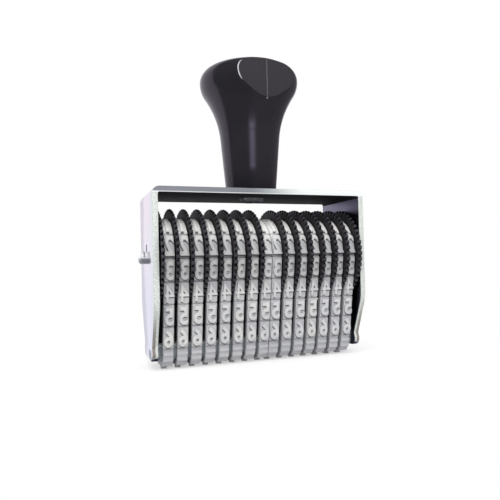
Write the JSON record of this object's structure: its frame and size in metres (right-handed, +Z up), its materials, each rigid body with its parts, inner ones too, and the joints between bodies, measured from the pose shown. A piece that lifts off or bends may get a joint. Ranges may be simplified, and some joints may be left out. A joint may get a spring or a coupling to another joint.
{
  "type": "numbering machine",
  "caption": "Hand numbering stamp: toothed number wheels on one axle in a bent chrome yoke, each driving its own rubber figure band, with a black knob handle on top.",
  "frame": {"origin": "under the middle of the axle, on the plane of the printing faces", "axes": "+X along the axle to the right as seen from the front, -Y is the front that the handle's flat faces, +Z up through the handle"},
  "size_m": [0.065, 0.0273, 0.0854],
  "materials": {
    "chromed_sheet": "polished chrome plate on bent steel strip",
    "plated_bar": "dull zinc plate",
    "steel_rod": "turned bright steel",
    "handle_gloss": "moulded, high gloss",
    "wheel_plastic": "moulded, satin",
    "band_rubber": "light grey moulded rubber"
  },
  "bodies": {
    "stamp_frame": {"yoke": "chromed_sheet", "bridge": "plated_bar", "guide_plate": "wheel_plastic", "axle": "steel_rod", "washer_left": "steel_rod", "washer_right": "steel_rod", "handle": "handle_gloss", "handle_screw": "steel_rod", "band_01": "band_rubber", "band_02": "band_rubber", "band_03": "band_rubber", "band_04": "band_rubber", "band_05": "band_rubber", "band_06": "band_rubber", "band_07": "band_rubber", "band_08": "band_rubber", "band_09": "band_rubber", "band_10": "band_rubber", "band_11": "band_rubber", "band_12": "band_rubber", "band_13": "band_rubber", "band_14": "band_rubber", "band_15": "band_rubber"},
    "number_wheel_01": {"wheel_01": "wheel_plastic"},
    "number_wheel_02": {"wheel_02": "wheel_plastic"},
    "number_wheel_03": {"wheel_03": "wheel_plastic"},
    "number_wheel_04": {"wheel_04": "wheel_plastic"},
    "number_wheel_05": {"wheel_05": "wheel_plastic"},
    "number_wheel_06": {"wheel_06": "wheel_plastic"},
    "number_wheel_07": {"wheel_07": "wheel_plastic"},
    "number_wheel_08": {"wheel_08": "wheel_plastic"},
    "number_wheel_09": {"wheel_09": "wheel_plastic"},
    "number_wheel_10": {"wheel_10": "wheel_plastic"},
    "number_wheel_11": {"wheel_11": "wheel_plastic"},
    "number_wheel_12": {"wheel_12": "wheel_plastic"},
    "number_wheel_13": {"wheel_13": "wheel_plastic"},
    "number_wheel_14": {"wheel_14": "wheel_plastic"},
    "number_wheel_15": {"wheel_15": "wheel_plastic"}
  },
  "joints": [
    {"name": "wheel_01_spin", "type": "hinge", "parent": "stamp_frame", "child": "number_wheel_01", "pos_m": [0, 0, 0.0296], "axis": [1, 0, 0], "continuous": true},
    {"name": "wheel_02_spin", "type": "hinge", "parent": "stamp_frame", "child": "number_wheel_02", "pos_m": [0, 0, 0.0296], "axis": [1, 0, 0], "continuous": true},
    {"name": "wheel_03_spin", "type": "hinge", "parent": "stamp_frame", "child": "number_wheel_03", "pos_m": [0, 0, 0.0296], "axis": [1, 0, 0], "continuous": true},
    {"name": "wheel_04_spin", "type": "hinge", "parent": "stamp_frame", "child": "number_wheel_04", "pos_m": [0, 0, 0.0296], "axis": [1, 0, 0], "continuous": true},
    {"name": "wheel_05_spin", "type": "hinge", "parent": "stamp_frame", "child": "number_wheel_05", "pos_m": [0, 0, 0.0296], "axis": [1, 0, 0], "continuous": true},
    {"name": "wheel_06_spin", "type": "hinge", "parent": "stamp_frame", "child": "number_wheel_06", "pos_m": [0, 0, 0.0296], "axis": [1, 0, 0], "continuous": true},
    {"name": "wheel_07_spin", "type": "hinge", "parent": "stamp_frame", "child": "number_wheel_07", "pos_m": [0, 0, 0.0296], "axis": [1, 0, 0], "continuous": true},
    {"name": "wheel_08_spin", "type": "hinge", "parent": "stamp_frame", "child": "number_wheel_08", "pos_m": [0, 0, 0.0296], "axis": [1, 0, 0], "continuous": true},
    {"name": "wheel_09_spin", "type": "hinge", "parent": "stamp_frame", "child": "number_wheel_09", "pos_m": [0, 0, 0.0296], "axis": [1, 0, 0], "continuous": true},
    {"name": "wheel_10_spin", "type": "hinge", "parent": "stamp_frame", "child": "number_wheel_10", "pos_m": [0, 0, 0.0296], "axis": [1, 0, 0], "continuous": true},
    {"name": "wheel_11_spin", "type": "hinge", "parent": "stamp_frame", "child": "number_wheel_11", "pos_m": [0, 0, 0.0296], "axis": [1, 0, 0], "continuous": true},
    {"name": "wheel_12_spin", "type": "hinge", "parent": "stamp_frame", "child": "number_wheel_12", "pos_m": [0, 0, 0.0296], "axis": [1, 0, 0], "continuous": true},
    {"name": "wheel_13_spin", "type": "hinge", "parent": "stamp_frame", "child": "number_wheel_13", "pos_m": [0, 0, 0.0296], "axis": [1, 0, 0], "continuous": true},
    {"name": "wheel_14_spin", "type": "hinge", "parent": "stamp_frame", "child": "number_wheel_14", "pos_m": [0, 0, 0.0296], "axis": [1, 0, 0], "continuous": true},
    {"name": "wheel_15_spin", "type": "hinge", "parent": "stamp_frame", "child": "number_wheel_15", "pos_m": [0, 0, 0.0296], "axis": [1, 0, 0], "continuous": true}
  ]
}
